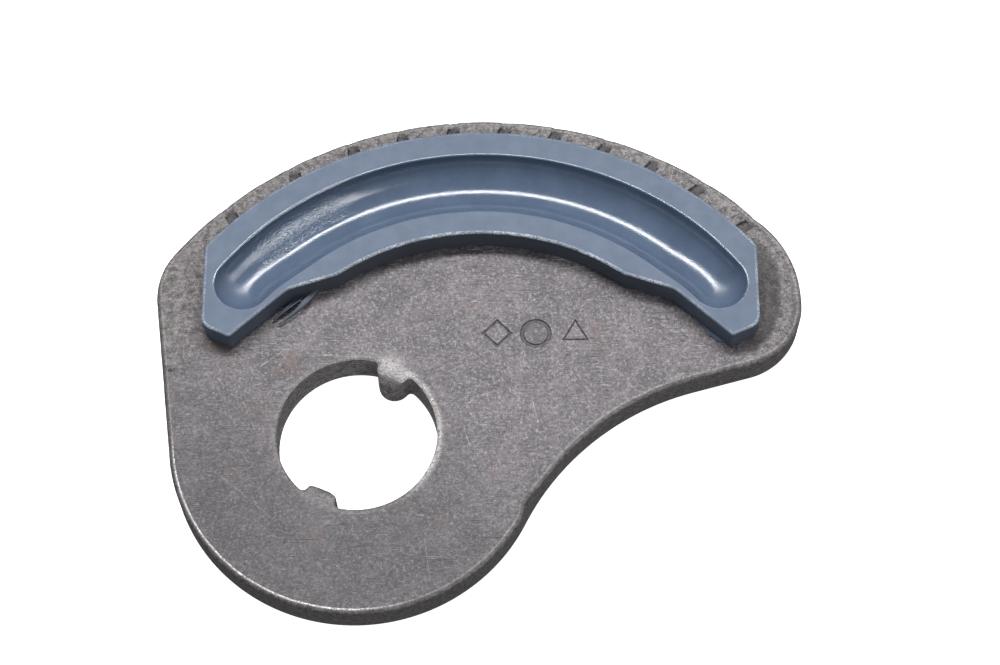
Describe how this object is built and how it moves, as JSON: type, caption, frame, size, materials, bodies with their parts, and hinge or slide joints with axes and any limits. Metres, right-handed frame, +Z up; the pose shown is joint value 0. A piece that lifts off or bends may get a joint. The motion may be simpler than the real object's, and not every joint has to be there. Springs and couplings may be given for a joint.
{
  "type": "spring compressor plate",
  "caption": "Clamping plate for a coil-spring compressor: forged arc-shaped plate with a keyed bore and a lift-out plastic insert whose trough holds a spring coil.",
  "frame": {"origin": "centre of the plate's box in plan, on its flat underside", "axes": "+Z up through the plate towards the trough's open side, +Y along the insert's axis of symmetry away from the bore, +X towards the rounded tip"},
  "size_m": [0.1726, 0.1422, 0.019],
  "materials": {
    "forged_steel": "worn as-forged, scratched top face",
    "insert_plastic": "satin moulded, worn edges"
  },
  "bodies": {
    "plate": {"spring_plate": "forged_steel"},
    "insert": {"coil_insert": "insert_plastic"}
  },
  "joints": [
    {"name": "insert_lift", "type": "slide", "parent": "plate", "child": "insert", "axis": [0, 0, 1], "range_m": [0, 0.02]}
  ]
}
